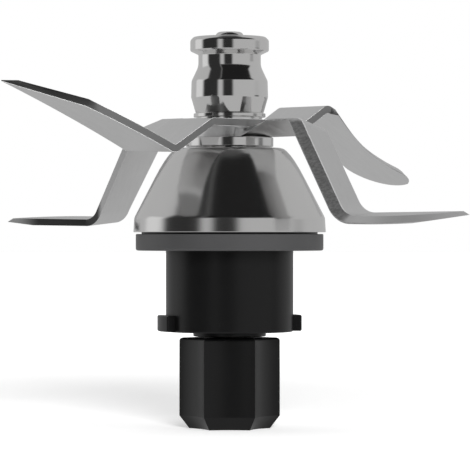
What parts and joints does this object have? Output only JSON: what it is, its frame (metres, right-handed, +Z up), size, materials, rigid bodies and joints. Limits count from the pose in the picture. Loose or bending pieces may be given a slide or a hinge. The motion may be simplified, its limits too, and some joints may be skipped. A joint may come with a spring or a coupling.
{
  "type": "blender blade assembly",
  "caption": "Bent steel knives on a sealed bearing spindle over a polished cone, with a seal ring, a bayonet housing and a hexagonal drive coupling.",
  "frame": {"origin": "centre of the drive coupling's lower end, on the spindle axis", "axes": "+Z up along the spindle from the coupling to the cap nut; -Y faces the viewer of the picture and +X is to the right"},
  "size_m": [0.108, 0.0825, 0.0927],
  "materials": {
    "blade_steel": "satin stainless with ground edges",
    "polished_steel": "bright turned stainless",
    "cone_steel": "polished pressed stainless",
    "bearing_steel": "ground bearing steel",
    "seal_rubber": "soft grey silicone",
    "lip_rubber": "black nitrile",
    "black_plastic": "moulded satin black",
    "cage_plastic": "natural nylon"
  },
  "bodies": {
    "housing_unit": {"bearing_housing": "black_plastic", "bearing_sleeve": "bearing_steel", "cone_cover": "cone_steel", "seal_ring": "seal_rubber", "shaft_seal": "lip_rubber", "garter_spring": "bearing_steel", "upper_outer_race": "bearing_steel", "outer_spacer": "bearing_steel", "lower_outer_race": "bearing_steel", "bearing_retainer": "black_plastic"},
    "rotor": {"spindle": "polished_steel", "cap_nut": "polished_steel", "clamp_washer": "polished_steel", "upper_blade": "blade_steel", "lower_blade": "blade_steel", "blade_collar": "polished_steel", "upper_inner_race": "bearing_steel", "inner_spacer": "bearing_steel", "lower_inner_race": "bearing_steel", "drive_coupling": "black_plastic", "coupling_screw": "bearing_steel", "coupling_washer": "bearing_steel"},
    "ball_sets": {"upper_balls": "bearing_steel", "upper_cage": "cage_plastic", "lower_balls": "bearing_steel", "lower_cage": "cage_plastic"}
  },
  "joints": [
    {"name": "rotor_spin", "type": "hinge", "parent": "housing_unit", "child": "rotor", "pos_m": [0, 0, 0.04], "axis": [0, 0, 1], "continuous": true},
    {"name": "ball_roll", "type": "hinge", "parent": "housing_unit", "child": "ball_sets", "pos_m": [0, 0, 0.04], "axis": [0, 0, 1], "continuous": true}
  ],
  "couplings": [
    {"joint": "ball_roll", "follows": "rotor_spin", "ratio": 0.369}
  ]
}
